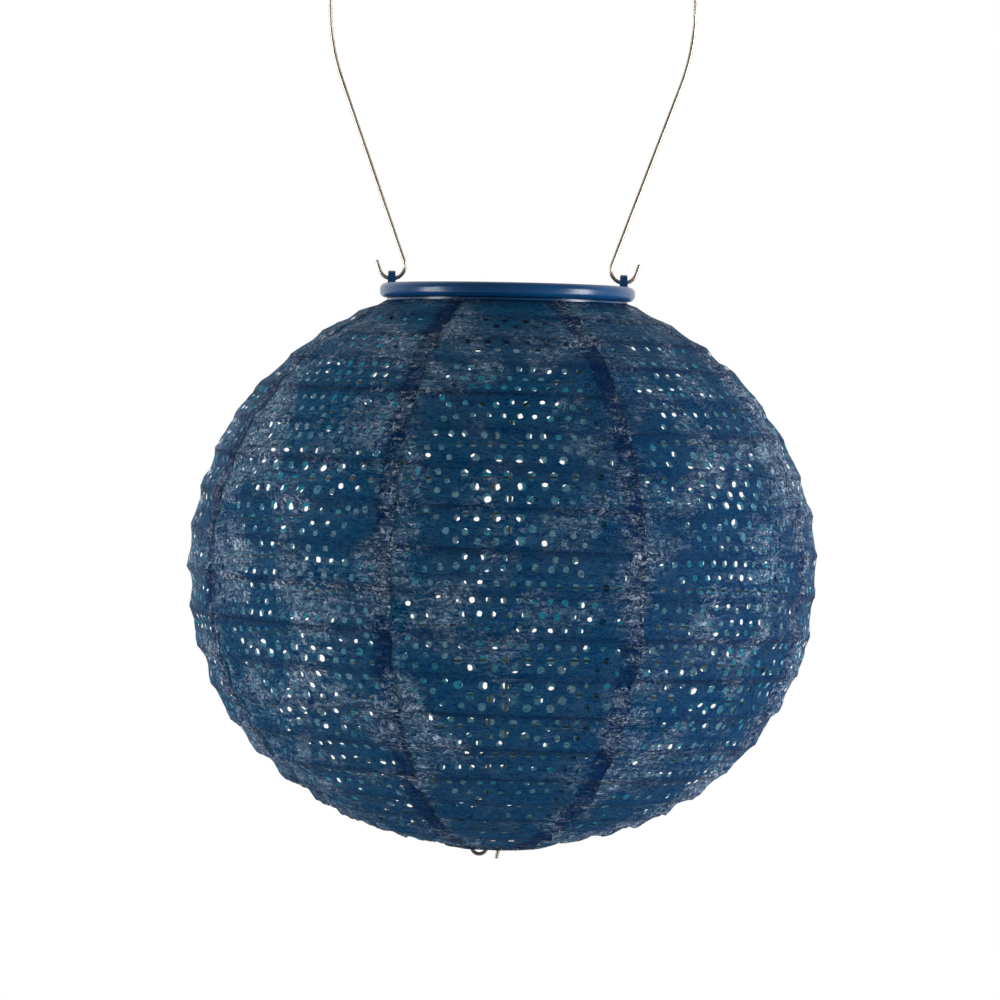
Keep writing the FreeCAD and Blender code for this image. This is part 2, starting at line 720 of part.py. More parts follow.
collar = body("collar")
place(collar, level="-{collar_bottom}")
HOOP_SHELF = 60.2
shelf_high = "{collar_bottom} + {hoop_level} - {hoop_gauge}"
turned(
    collar,
    "collar_core",
    [
        ("{collar_bore}", "0"),
        ("{collar_reach}", "0"),
        ("{collar_reach}", f"{shelf_high} - 1.6"),
        (f"{HOOP_SHELF}", f"{shelf_high} - 0.8"),
        (f"{HOOP_SHELF}", shelf_high),
        ("{collar_reach}", shelf_high),
        ("{collar_reach}", "{collar_bottom} - {collar_top}"),
        ("{collar_bore}", "{collar_bottom} - {collar_top}"),
    ],
)
LEDGE_START = -14.0
LEDGE_ANGLE = 24.5
STOP_START = 10.5
STOP_ANGLE = 4.5
TAB_GAP = 0.3
ledge_low = f"-{{skirt_bottom}} + {{tab_gauge}} + {TAB_GAP}"
ledges = []
for number, centre in enumerate(TAB_CENTRES, start=1):
    reach = ("{collar_bore} + 0.5", "{ledge_bore}")
    ledge_turn = (centre + LEDGE_START, f"{LEDGE_ANGLE}")
    stop_turn = (centre + STOP_START, f"{STOP_ANGLE}")
    ledges.append(sector(f"ledge_{number}", *reach, "1.8", *ledge_turn, ledge_low))
    ledges.append(sector(f"stop_{number}", *reach, "3.6", *stop_turn, "-{skirt_bottom}"))
SEAT_X = 56.8
SADDLE_WALL = 1.2
saddles = []
for end in (-1, 1):
    for wall in (-1, 1):
        y = f"{{prop_plane}} + {wall} * ({{prop_gauge}} + 0.1 + {SADDLE_WALL / 2})"
        saddle_place = (f"{end * SEAT_X}", y, "-{collar_bottom} - 2")
        saddles.append(slab(f"saddle_{end}_{wall}", "2.4", f"{SADDLE_WALL}", "2.2", *saddle_place))
sub_part(fuse("collar_solid", collar, *ledges, *saddles), "shade_collar")

hoop = bind(add("Part::Torus", "hoop"), Radius1="{hoop_reach}", Radius2="{hoop_gauge}")
sub_part(place(hoop, level="{hoop_level}"), "top_hoop")

# The spiral rib: half turns as tilted half circles, front and back in turn, joined at +X and -X.

RIB_CLOSE_START = 304.0
RIB_CLOSE_SHARE = 0.28
RIB_END_GAP = 6.0


def rib_point(half_turns):
    """Where the rib crosses the XZ plane; even half turns at -X. The pitch closes up at the bottom."""
    length = dim("rib_start") + dim("rib_pitch") / 2 * half_turns
    past = max(0.0, length - RIB_CLOSE_START)
    length -= RIB_CLOSE_SHARE * past
    radius, level = inset_point(turn_at_length(length), dim("rib_inset"))
    side = 1 if half_turns % 2 else -1
    return length, Vector(side * radius, 0, level)


def rib_path():
    """A left-handed spiral: seen from the front it falls from -X to +X."""
    edges = []
    half_turns = 1
    here = rib_point(0)[1]
    length, ahead = rib_point(1)
    while length <= WALK[1][-1] - RIB_END_GAP:
        side = -1 if half_turns % 2 else 1
        swing = Vector(0, side * (ahead - here).Length / 2, 0)
        edges.append(Part.Arc(here, (here + ahead) / 2 + swing, ahead).toShape())
        half_turns += 1
        here = ahead
        length, ahead = rib_point(half_turns)
    return Part.Wire(edges)


bent_wire("rib_spiral", lowered(rib_path()), "{rib_gauge}")

# The fabric: eight gores cut from one turned shell.

OUTLINE_POINTS = 15


def gore_profile():
    """The fabric's cross-section, as a face in the XZ plane."""
    sides = []
    for inset in (0.0, dim("fabric_gauge")):
        points = []
        for index in range(OUTLINE_POINTS):
            turn = FIRST_TURN + (LAST_TURN - FIRST_TURN) * index / (OUTLINE_POINTS - 1)
            radius, level = inset_point(turn, inset)
            points.append(Vector(radius, 0, level - dim("hang_height")))
        sides.append(points)
    outer, inner = sides
    spline_outer = Part.BSplineCurve()
    spline_outer.interpolate(outer)
    spline_inner = Part.BSplineCurve()
    spline_inner.interpolate(inner[::-1])
    low_end = Part.makeLine(outer[-1], inner[-1])
    top_end = Part.makeLine(inner[0], outer[0])
    return Part.Face(Part.Wire([spline_outer.toShape(), low_end, spline_inner.toShape(), top_end]))


profile = add("Part::Feature", "gore_profile")
profile.Shape = gore_profile()
GORES = 8
for number in range(1, GORES + 1):
    gore = add("Part::Revolution", f"gore_{number}")
    gore.Source = profile
    gore.Axis = Z_AXIS
    gore.Base = ORIGIN
    gore.Solid = True
    bind(gore, Angle="{gore_angle}")
    seam = dim("first_seam") + 360 / GORES * (number - 1)
    gore.Placement = Placement(ORIGIN, Rotation(Z_AXIS, seam))
    sub_part(gore, f"gore_panel_{number}")

# The expander: one wire with two arms that seat under the collar, a bridge between them, and two
# legs that step over the bottom ring's crossbar.

ARM_DROP = 7.0
SEAT_BEND = 3.0
BRIDGE_LEVEL = -34.0
BRIDGE_END = 38.0
STEM_TOP = -62.0
LEFT_LEG = -5.0
RIGHT_LEG = 3.2
STEP_LEVEL = dim("ring_level") + dim("ring_gauge") + dim("prop_gauge") + 0.1


def seat_points(side):
    """The arm's U-turn under the collar, from the outer strand to the inner one."""
    level = -dim("collar_bottom") - dim("prop_gauge") - 0.1
    plane_y = dim("prop_plane")
    outer = side * (SEAT_X + SEAT_BEND)
    inner = side * (SEAT_X - SEAT_BEND)
    return [
        (outer, plane_y, level - 10, 6),
        (outer, plane_y, level, SEAT_BEND - 0.01),
        (inner, plane_y, level, SEAT_BEND - 0.01),
        (inner, plane_y, level - ARM_DROP, 5),
        (side * BRIDGE_END, plane_y, BRIDGE_LEVEL, 6),
    ]


def step_points(x):
    """A leg's step over the crossbar, from the leg down to the tail."""
    back = dim("prop_plane")
    return [(x, back, STEP_LEVEL, 1.6), (x, -back, STEP_LEVEL, 1.6)]


def expander_path():
    plane_y = dim("prop_plane")
    tail_y = -plane_y
    left_tail = [
        (LEFT_LEG - 7.2, tail_y, -272.9, 0),
        (LEFT_LEG - 7.2, tail_y, -276.6, 3.5),
        (LEFT_LEG, tail_y, -276.6, 3.5),
    ]
    left = [*left_tail, *reversed(step_points(LEFT_LEG)), (LEFT_LEG, plane_y, STEM_TOP, 9)]
    right = [
        (RIGHT_LEG, plane_y, STEM_TOP, 9),
        (RIGHT_LEG, plane_y, STEP_LEVEL, 1.6),
        (RIGHT_LEG - 1.4, tail_y, STEP_LEVEL, 1.6),
        (RIGHT_LEG - 3.4, tail_y, -278.6, 0),
    ]
    return rounded_path([*left, *seat_points(-1), *reversed(seat_points(1)), *right])


bent_wire("expander_wire", lowered(expander_path()), "{prop_gauge}")

# The bottom ring and its crossbar. The ring's own start lies away from the bar's ends.

SEAM_TURN = 50.0

ring = bind(add("Part::Torus", "ring"), Radius1="{ring_reach}", Radius2="{ring_gauge}")
ring.Placement = Placement(ORIGIN, Rotation(Z_AXIS, SEAM_TURN))
place(ring, level="{ring_level}")
crossbar_length = "2 * {ring_reach}"
crossbar = rod("crossbar", "{ring_gauge}", crossbar_length, "-{ring_reach}", "0", "{ring_level}", X_AXIS)
sub_part(fuse("ring_solid", ring, crossbar), "bottom_ring")

document.recompute()

for thing in document.Objects:
    if "Invalid" in thing.State or "Error" in thing.State:
        raise RuntimeError(f"{thing.Label} failed: {thing.State}")
for thing in sub_parts:
    if thing.Shape.isNull() or not thing.Shape.isValid() or thing.Shape.Volume <= 0:
        raise RuntimeError(f"{thing.Label} has no valid solid")
for thing, length, gauge in wires:
    expected = math.pi * dim(gauge.strip("{}")) ** 2 * length
    print(f"{thing.Label}: swept volume is {thing.Shape.Volume / expected:.4f} of section times length")

os.makedirs("parts", exist_ok=True)
for thing in sub_parts:
    thing.Shape.exportStep(f"parts/{thing.Label}.step")
    print(f"{thing.Label:18s} {thing.Shape.Volume:10.1f} mm3, {len(thing.Shape.Solids)} solids")
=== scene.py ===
import math

import bpy
import numpy as np
from mathutils import Matrix, Vector, geometry, noise


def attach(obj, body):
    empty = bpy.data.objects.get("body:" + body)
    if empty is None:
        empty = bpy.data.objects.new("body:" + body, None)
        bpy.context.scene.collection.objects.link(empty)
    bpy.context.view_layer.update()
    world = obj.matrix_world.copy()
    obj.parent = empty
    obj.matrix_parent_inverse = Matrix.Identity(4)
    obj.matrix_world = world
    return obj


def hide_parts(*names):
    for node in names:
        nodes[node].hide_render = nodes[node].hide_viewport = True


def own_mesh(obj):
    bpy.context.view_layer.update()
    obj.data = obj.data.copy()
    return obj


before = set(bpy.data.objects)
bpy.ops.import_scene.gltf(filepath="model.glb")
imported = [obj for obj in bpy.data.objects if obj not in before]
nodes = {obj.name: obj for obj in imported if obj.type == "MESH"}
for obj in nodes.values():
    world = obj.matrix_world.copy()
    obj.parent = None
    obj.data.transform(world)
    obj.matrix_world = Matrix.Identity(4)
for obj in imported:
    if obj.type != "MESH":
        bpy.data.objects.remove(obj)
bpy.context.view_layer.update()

# Lengths in this script are in millimetres, and "level" is a height above the cap rim's top.
# POINT_SCALE and HANG_HEIGHT turn them into the frame's metres, with its origin at the hang point.
POINT_SCALE = 0.001
HANG_HEIGHT = 232.0


def metres(points):
    """Points (x, y, level) in millimetres as points of the frame."""
    moved = np.array(points, float)
    moved[:, 2] -= HANG_HEIGHT
    return moved * POINT_SCALE


# ---------------------------------------------------------------- the shade's outline

SHADE_REACH = 152.4
EQUATOR = -136.2
UPPER_RISE = 138.5
LOWER_DROP = 136.2
LOWER_POWER = 2.15
FABRIC_TOP = -8.6
FABRIC_HOLE = 26.0
OUTLINE_STEPS = 6000


def outline_table():
    """Length from the fabric's top edge, radius, level and outward normal, all along the outline."""
    first = math.asin(math.sqrt(1 - ((FABRIC_TOP - EQUATOR) / UPPER_RISE) ** 2))
    last = math.pi - math.asin((FABRIC_HOLE / SHADE_REACH) ** (LOWER_POWER / 2))
    turn = np.linspace(first, last, OUTLINE_STEPS)
    upper = turn <= math.pi / 2
    share = 2 / LOWER_POWER
    radius = np.where(upper, np.sin(turn), np.sin(turn) ** share) * SHADE_REACH
    drop = np.where(upper, np.cos(turn) * UPPER_RISE, -(np.abs(np.cos(turn)) ** share) * LOWER_DROP)
    level = EQUATOR + drop
    step_r = np.gradient(radius)
    step_z = np.gradient(level)
    run = np.hypot(step_r, step_z)
    length = np.concatenate([[0.0], np.cumsum(np.hypot(np.diff(radius), np.diff(level)))])
    return length, radius, level, -step_z / run, step_r / run


LENGTH, RADIUS, LEVEL, NORMAL_R, NORMAL_Z = outline_table()
FABRIC_LENGTH = LENGTH[-1]


def radius_at(length):
    """Radius of the outline at a length from the fabric's top edge."""
    return np.interp(length, LENGTH, RADIUS)


def on_shade(azimuth, length, inset):
    """Points (x, y, level) on the shade at azimuths in degrees, moved inwards by inset."""
    radius = radius_at(length) - inset * np.interp(length, LENGTH, NORMAL_R)
    level = np.interp(length, LENGTH, LEVEL) - inset * np.interp(length, LENGTH, NORMAL_Z)
    turn = np.radians(azimuth)
    return np.stack([radius * np.cos(turn), radius * np.sin(turn), level], axis=1)


# ---------------------------------------------------------------- the spiral rib

RIB_START = 13.8
RIB_PITCH = 19.55
RIB_CLOSE_START = 304.0
RIB_CLOSE_SHARE = 0.28
RIB_ZERO = 180.0
RIB_TURNS = 18.0
RIB_INSET = 1.25
RIB_WIRE = 0.6


def rib_length(turns):
    """Length along the outline at which the rib lies after that many turns from -X."""
    length = RIB_START + RIB_PITCH * np.asarray(turns, float)
    return length - RIB_CLOSE_SHARE * np.maximum(0.0, length - RIB_CLOSE_START)


def rib_turns_at(azimuth):
    """The part of a turn by which the rib has passed each azimuth."""
    return (np.asarray(azimuth, float) - RIB_ZERO) / 360.0


# ---------------------------------------------------------------- mesh helpers


def mesh_object(name, points, faces, smooth=True):
    """A mesh object linked to the scene, from points in metres and lists of corners."""
    mesh = bpy.data.meshes.new(name)
    mesh.from_pydata([tuple(p) for p in points], [], faces)
    mesh.validate()
    mesh.update()
    made = bpy.data.objects.new(name, mesh)
    bpy.context.scene.collection.objects.link(made)
    mesh.polygons.foreach_set("use_smooth", [smooth] * len(mesh.polygons))
    return made


def tube_mesh(name, line, gauge, sides=10, closed=False):
    """A round tube along a line of points in metres, with flat ends unless it is closed."""
    line = np.asarray(line, float)
    if closed:
        tangent = np.roll(line, -1, axis=0) - np.roll(line, 1, axis=0)
    else:
        tangent = np.gradient(line, axis=0)
    tangent /= np.linalg.norm(tangent, axis=1)[:, None]
    side = np.cross(tangent, (0.0, 0.0, 1.0))
    side /= np.linalg.norm(side, axis=1)[:, None]
    up = np.cross(side, tangent)
    turn = np.linspace(0, 2 * math.pi, sides, endpoint=False)
    ring = np.cos(turn)[None, :, None] * side[:, None, :] + np.sin(turn)[None, :, None] * up[:, None, :]
    gauge = np.broadcast_to(np.asarray(gauge, float), (len(line),))
    points = (line[:, None, :] + ring * gauge[:, None, None]).reshape(-1, 3)
    faces = []
    count = len(line)
    for index in range(count if closed else count - 1):
        here = index * sides
        ahead = (index + 1) % count * sides
        for corner in range(sides):
            following = (corner + 1) % sides
            faces.append((here + corner, here + following, ahead + following, ahead + corner))
    if not closed:
        faces.append(tuple(range(sides - 1, -1, -1)))
        faces.append(tuple((count - 1) * sides + corner for corner in range(sides)))
    return mesh_object(name, points, faces)


SEED_STEP = 7.31


def smooth_noise(points, seed):
    """Gradient noise at rows of (u, v), shifted by a seed."""
    return np.array([noise.noise(Vector((u, v, seed * SEED_STEP))) for u, v in points])


# ---------------------------------------------------------------- the fabric's perforations

GORES = 8
GORE_ANGLE = 360.0 / GORES
FIRST_SEAM = 25.4
TAB = 9.0
SMALL_HOLE = 1.7
LARGE_HOLE = 2.25
HOLE_JITTER = 0.42

# Straight bands of holes: first row, last row, rows, holes across (0 for the full width), spacing,
# and sag at the ends.
GRID_BANDS = [
    (21.0, 26.5, 2, 4, 9.3, 0.0),
    (39.5, 46.5, 2, 6, 9.3, 0.0),
    (58.6, 103.1, 7, 0, 7.2, 2.4),
    (162.3, 197.8, 6, 0, 7.3, 1.2),
    (255.8, 290.8, 5, 0, 7.2, 0.8),
    (298.8, 308.5, 2, 6, 10.3, 0.0),
    (320.9, 329.0, 2, 4, 10.3, 0.0),
    (346.0, 346.0, 1, 2, 9.0, 0.0),
]
SIDE_MARGIN = 7.5
SIDE_SHARE = 0.8
BAND_FULL_REACH = 36.0
SAG_REACH = 34.0
# Petals of large holes, point down: first row, row spacing, and holes in each row.
PETALS = [
    (111.3, 6.6, (5, 6, 5, 4, 3, 2, 1)),
    (204.8, 6.5, (6, 5, 6, 5, 4, 3, 2)),
]
PETAL_SPACING = 10.4
# Lines of small holes that run down both sides of each petal, parallel to its V.
LINE_START = 33.0
LINE_SPACING = 9.4
LINES = 4
LINE_HOLES = 9
LINE_STEP = (-4.5, 5.75)
LINE_END = 47.0
LINE_INSIDE = 3.0
# Scattered holes down both margins of a gore.
MARGIN_HOLES = 22
MARGIN_START = 50.0
MARGIN_SPACING = 13.0
MARGIN_JITTER = 5.0
MARGIN_RIGHT_SHARE = 0.65
MARGIN_DEPTH = (4.0, 13.0)


def half_width(length):
    """Half of a gore's width at a length from the top edge, without the lap."""
    return math.radians(GORE_ANGLE / 2) * radius_at(length)


def row_columns(across, spacing, length, row):
    """Places of the holes in one straight row, odd rows being shifted by half a space."""
    if across:
        count = across - row % 2
        return [(column - (count - 1) / 2) * spacing for column in range(count)]
    reach = float(half_width(length)) - SIDE_MARGIN
    count = int(reach / spacing)
    shift = 0.5 * (row % 2)
    places = [(column + shift) * spacing for column in range(-count, count + 1)]
    return [place for place in places if place < reach]


def petal_holes(first, spacing, counts):
    """One petal of large holes and the lines of small holes beside it."""
    holes = []
    for row, count in enumerate(counts):
        for column in range(count):
            holes.append(((column - (count - 1) / 2) * PETAL_SPACING, first + row * spacing, LARGE_HOLE))
    for line in range(LINES):
        for number in range(LINE_HOLES):
            reach = LINE_START + line * LINE_SPACING + number * LINE_STEP[0]
            fall = number * LINE_STEP[1]
            if reach > LINE_INSIDE and fall < LINE_END:
                holes += [(side * reach, first + fall, SMALL_HOLE) for side in (-1, 1)]
    return holes


def hole_pattern(random):
    """Holes of one gore as (x across the gore, length along it, radius)."""
    holes = []
    for first, last, rows, across, spacing, sag in GRID_BANDS:
        for row in range(rows):
            length = first + (last - first) * row / max(1, rows - 1)
            for x in row_columns(across, spacing, length, row):
                if abs(x) < BAND_FULL_REACH or random.uniform() < SIDE_SHARE:
                    holes.append((x, length + sag * (x / SAG_REACH) ** 2, SMALL_HOLE))
    for first, spacing, counts in PETALS:
        holes += petal_holes(first, spacing, counts)
    placed = []
    for x, length, radius in holes:
        x += random.normal(0.0, HOLE_JITTER)
        length += random.normal(0.0, HOLE_JITTER)
        placed.append((x, length, radius * random.uniform(0.86, 1.08)))
    for number in range(MARGIN_HOLES):
        length = MARGIN_START + number * MARGIN_SPACING + random.uniform(-MARGIN_JITTER, MARGIN_JITTER)
        side = 1 if random.uniform() < MARGIN_RIGHT_SHARE else -1
        reach = float(half_width(length)) - random.uniform(*MARGIN_DEPTH)
        placed.append((side * reach, length, SMALL_HOLE * random.uniform(0.8, 1.0)))
    return placed


HOLE_GAP = 1.0
EDGE_GAP = 3.0


def spaced_holes(holes):
    """Drops a hole that would touch another one or the gore's edges."""
    kept = []
    for x, length, radius in holes:
        edge = float(half_width(length)) - EDGE_GAP
        if abs(x) > edge:
            continue
        if all(math.hypot(x - a, length - b) > radius + c + HOLE_GAP for a, b, c in kept):
            kept.append((x, length, radius))
    return kept


# ---------------------------------------------------------------- one gore as a flat cut

ROW_SHARES = (0.0, 0.07, 0.18, 0.32, 0.5, 0.68, 0.82, 0.93)
FIRST_ROW = 1.5
LAST_ROW_GAP = 1.2
COLUMN_STEP = 2.9
END_STEP = 4.0
TAB_FULL_RADIUS = 60.0
HOLE_CORNERS = 10
LARGE_HOLE_CORNERS = 12
LARGE_HOLE_FROM = 1.9
SEAM_ROOM = 0.8
HOLE_ROOM = 0.55
INSIDE_HOLE = 0.86
FACES_AT_ONCE = 4000


def gore_rows(middle):
    """Lengths of the mesh rows on a gore's middle line, so that rows lie on the ribs."""
    shift = float(rib_turns_at(middle))
    rows = []
    for turn in range(-2, int(RIB_TURNS) + 4):
        for share in ROW_SHARES:
            rows.append(float(rib_length(turn + share + shift)))
    inside = [row for row in rows if FIRST_ROW < row < FABRIC_LENGTH - LAST_ROW_GAP]
    return [0.0, *inside, FABRIC_LENGTH]


def across_end(start, end):
    """Points between the two corners of a gore's top or bottom edge."""
    count = max(1, int(abs(end[0] - start[0]) / END_STEP))
    return [(start[0] + (end[0] - start[0]) * i / count, start[1]) for i in range(1, count)]


def hole_corners(hole, random):
    """The corners of one hole, as a slightly oval polygon."""
    x, length, radius = hole
    sides = LARGE_HOLE_CORNERS if radius > LARGE_HOLE_FROM else HOLE_CORNERS
    turn = random.uniform(0, 2 * math.pi)
    oval = random.uniform(0.9, 1.0)
    angles = [turn + 2 * math.pi * corner / sides for corner in range(sides)]
    return [(x + radius * math.cos(angle), length + oval * radius * math.sin(angle)) for angle in angles]


def loop_edges(start, count):
    """Edges that close a run of points into a loop."""
    return [(start + i, start + (i + 1) % count) for i in range(count)]


def flat_gore(middle, holes, random):
    """Triangles of one gore's flat cut: points (x, length) and faces, with the holes left open."""
    rows = gore_rows(middle)
    right = [(float(half_width(row)), row) for row in rows]
    tabs = [TAB * min(1.0, float(radius_at(row)) / TAB_FULL_RADIUS) for row in rows]
    left = [(-float(half_width(row)) - tab, row) for row, tab in zip(rows, tabs)]
    points = right + across_end(right[-1], left[-1]) + left[::-1] + across_end(left[0], right[0])
    edges = loop_edges(0, len(points))
    centres = np.array([(x, length) for x, length, _ in holes])
    radii = np.array([radius for _, _, radius in holes])
    for hole in holes:
        corners = hole_corners(hole, random)
        edges += loop_edges(len(points), len(corners))
        points += corners
    for index, row in enumerate(rows[1:-1], start=1):
        low, high = left[index][0], right[index][0]
        count = max(2, int((high - low) / COLUMN_STEP))
        offset = 0.25 if index % 2 else 0.0
        for column in range(1, count):
            x = low + (high - low) * (column + offset) / count
            if high - x < SEAM_ROOM:
                continue
            away = np.hypot(centres[:, 0] - x, centres[:, 1] - row) - radii
            if away.min() > HOLE_ROOM:
                points.append((x, row))
    flat, _, faces, _, _, _ = geometry.delaunay_2d_cdt([Vector(p) for p in points], edges, [], 1, 1e-5)
    flat = np.array([(p.x, p.y) for p in flat])
    faces = np.array(faces)
    middles = flat[faces].mean(axis=1)
    keep = np.ones(len(faces), bool)
    for start in range(0, len(faces), FACES_AT_ONCE):
        part = middles[start : start + FACES_AT_ONCE, None, :] - centres[None, :, :]
        away = np.hypot(part[..., 0], part[..., 1])
        keep[start : start + FACES_AT_ONCE] = (away > radii[None, :] * INSIDE_HOLE).all(axis=1)
    return flat, faces[keep]


# ---------------------------------------------------------------- the gore on the shade

# Depth of the valley between two ribs at the top and lower down, how much it varies, and how it is skewed.
VALLEY_TOP = 0.95
VALLEY_LOW = 2.1
VALLEY_DEEPENS_FROM = 60.0
VALLEY_DEEPENS_OVER = 200.0
VALLEY_VARIES = 0.9
VALLEY_SKEW = 0.7
# Sizes of the bumps in the cloth, across the gore and along it.
PUFF_SIZE = 55.0
FOLD_SIZE = (21.0, 5.5)
CRUMPLE_SIZE = 8.0
FINE_SIZE = 5.2
PATCH_SIZE = 30.0
# Depth of folds at a rib and what a valley adds, and depth of crumples when smooth and what crinkling adds.
FOLD_DEPTH = (0.15, 0.35)
CRUMPLE_DEPTH = (0.3, 0.75)
FINE_DEPTH = (0.22, 0.42)
# How crinkled the cloth is: everywhere, near a seam, on the shade's sides, and in patches. The share on the
# sides also makes the shader paint paler colour and highlights there, as painted sheen where the side lamps
# fall.
CRINKLE_AND_SHEEN_SHARES = (0.02, 0.5, 0.48, 0.9)
SEAM_SPREAD = 11.0
# The gathered fabric near the bottom opening.
GATHER_START = 315.0
GATHER_OVER = 50.0
GATHER_DEPTH = 1.6
GATHER_SIZE = (14.0, 30.0)
# Near its two ends the fabric lies flat on the hoop and the ring.
END_BLEND = 12.0
END_GATHER = 10.0
END_FLAT = 4.0
END_LEAST = 0.15
# The lap: its ragged upper edge lifts a little, and the tab underneath sinks.
EDGE_ZONE = 5.0
EDGE_WAVE_SIZE = 9.0
EDGE_WAVE_DEPTH = 1.2
EDGE_ROUGH_SIZE = 3.2
EDGE_ROUGH_DEPTH = 0.8
EDGE_LIFT = (0.3, 1.3)
LIFT_TOP_LAYER = 0.25
SINK_TAB = 0.5
TAB_STEP = 1.5
TAB_SHIFT = 0.6
# The "fold" attribute is 0 at a rib, rises to 1 at the next one, and is -1 on the line of a seam. From it
# the fabric shader paints shade just below each rib and a painted shadow on the seam line.
SEAM_LINE = 0.8
SEAM_MARK = -1.0


def length_to_turns(length):
    """The turns of rib, counted from -X, at which a length along the outline is reached."""
    table = np.linspace(-3, RIB_TURNS + 5, 4000)
    return np.interp(length, rib_length(table), table)


def cloth_noise(across, along, size, seed):
    """Noise over the cloth, with bumps of a size across it and a size along it."""
    return smooth_noise(np.stack([across / size[0], along / size[1]], axis=1), seed)


def limited(values):
    """Values kept between 0 and 1."""
    return np.clip(values, 0.0, 1.0)


def valley_inset(share, length, puff):
    """How far the cloth sags in from the outline at each share of the way between two ribs."""
    down = limited((length - VALLEY_DEEPENS_FROM) / VALLEY_DEEPENS_OVER)
    depth = (VALLEY_TOP + (VALLEY_LOW - VALLEY_TOP) * down) * (1.0 + VALLEY_VARIES * puff)
    skewed = share**VALLEY_SKEW
    return depth * (0.5 * 4 * skewed * (1 - skewed) + 0.5 * np.sin(math.pi * skewed) ** 2)


def drape(flat, gore, middle):
    """Places a gore's flat points on the shade. Returns points, how crinkled each is (raised on the sides
    for painted sheen), and its fold.
    """
    x = flat[:, 0]
    length = flat[:, 1]
    turns = length_to_turns(length) - rib_turns_at(middle)
    azimuth = middle + np.degrees(x / radius_at(length))
    on_rib = rib_length(turns + rib_turns_at(azimuth))
    ends = np.minimum(length, FABRIC_LENGTH - length)
    real = length + (on_rib - length) * limited(ends / END_BLEND)
    wave = np.floor(turns)
    share = turns - wave
    half = half_width(length)
    from_right = half - x
    from_left = x + half
    seam = np.exp(-((np.minimum(np.abs(from_right), np.abs(from_left)) / SEAM_SPREAD) ** 2))
    puff = cloth_noise(x, wave * 1.7 + gore * 3.1, (PUFF_SIZE, 1.0), 1)
    fold = cloth_noise(x, length, FOLD_SIZE, 11 + gore)
    crumple = cloth_noise(x, length, (CRUMPLE_SIZE, CRUMPLE_SIZE), 31 + gore)
    fine = cloth_noise(x, length, (FINE_SIZE, FINE_SIZE), 51 + gore)
    patch = cloth_noise(x, length, (PATCH_SIZE, PATCH_SIZE), 71 + gore)
    # The sides facing the lamps at ±X get more crinkle, which the shader turns into paler colour as painted
    # sheen.
    sideways = np.abs(np.cos(np.radians(azimuth)))
    everywhere, at_seam, at_side, in_patch = CRINKLE_AND_SHEEN_SHARES
    crinkle_and_sheen = limited(everywhere + at_seam * seam + at_side * sideways + in_patch * patch)
    inset = valley_inset(share, length, puff)
    inset += (FOLD_DEPTH[0] + FOLD_DEPTH[1] * limited(4 * share * (1 - share))) * fold
    inset += (CRUMPLE_DEPTH[0] + CRUMPLE_DEPTH[1] * crinkle_and_sheen) * crumple
    inset += (FINE_DEPTH[0] + FINE_DEPTH[1] * crinkle_and_sheen) * fine
    inset = inset * np.clip(ends / END_FLAT, END_LEAST, 1.0)
    lump = cloth_noise(azimuth, length, GATHER_SIZE, 91)
    gathered = limited((length - GATHER_START) / GATHER_OVER) * limited(ends / END_GATHER)
    inset += GATHER_DEPTH * gathered * lump
    edge_wave = cloth_noise(length, np.full_like(length, gore * 2.3), (EDGE_WAVE_SIZE, 1.0), 5)
    rough_wave = cloth_noise(length, np.full_like(length, gore * 4.7), (EDGE_ROUGH_SIZE, 1.0), 6)
    at_edge = limited(1.0 - from_right / EDGE_ZONE)
    slip = at_edge * (EDGE_WAVE_DEPTH * edge_wave + EDGE_ROUGH_DEPTH * rough_wave)
    azimuth = azimuth + np.degrees(slip / radius_at(length))
    lift = LIFT_TOP_LAYER + at_edge * limited(EDGE_LIFT[0] + EDGE_LIFT[1] * edge_wave)
    under = limited((-half - x) / TAB_STEP + TAB_SHIFT)
    inset = np.where(under > 0, inset + SINK_TAB * under, inset) - lift * (1 - under)
    share = np.where(from_right < SEAM_LINE, SEAM_MARK, share)
    return on_shade(azimuth, real, inset), crinkle_and_sheen, share


def collapses(piece):
    """Puts a soft piece of the shade on the shade's body, with a mesh of its own."""
    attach(piece, "shade")
    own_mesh(piece)


RIB_CLEARANCE = 1.9
PATTERN_DRIFT = 2.0
GORE_SEED = 400
CLOTH_SHIFT = 340.0


def clear_of_ribs(holes, middle):
    """Moves each hole up or down until the rib behind the fabric isn't seen through it."""
    shift = float(rib_turns_at(middle))
    moved = []
    for x, length, radius in holes:
        turns = float(length_to_turns(length)) - shift
        rib = float(rib_length(round(turns) + shift))
        gap = length - rib
        if abs(gap) < radius + RIB_CLEARANCE:
            length = rib + math.copysign(radius + RIB_CLEARANCE, gap)
        moved.append((x, length, radius))
    return moved


def make_gore(gore, material):
    """One perforated fabric gore: cut flat, then draped over the rib."""
    random = np.random.default_rng(GORE_SEED + gore)
    middle = FIRST_SEAM + GORE_ANGLE * (gore + 0.5)
    drift = random.uniform(-PATTERN_DRIFT, PATTERN_DRIFT)
    holes = [(x, length + drift, radius) for x, length, radius in hole_pattern(random)]
    holes = spaced_holes(clear_of_ribs(holes, middle))
    flat, faces = flat_gore(middle, holes, random)
    points, crinkle_and_sheen, share = drape(flat, gore, middle)
    piece = mesh_object(f"fabric_gore_{gore + 1}", metres(points), faces[:, ::-1].tolist())
    cloth = piece.data.attributes.new("cloth", "FLOAT_VECTOR", "POINT")
    values = np.stack([flat[:, 0] + CLOTH_SHIFT * gore, flat[:, 1], crinkle_and_sheen], axis=1)
    cloth.data.foreach_set("vector", values.astype(np.float32).ravel())
    fold = piece.data.attributes.new("fold", "FLOAT", "POINT")
    fold.data.foreach_set("value", share.astype(np.float32))
    piece.data.materials.append(material)
    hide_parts(f"gore_panel_{gore + 1}")
    collapses(piece)


# ---------------------------------------------------------------- materials


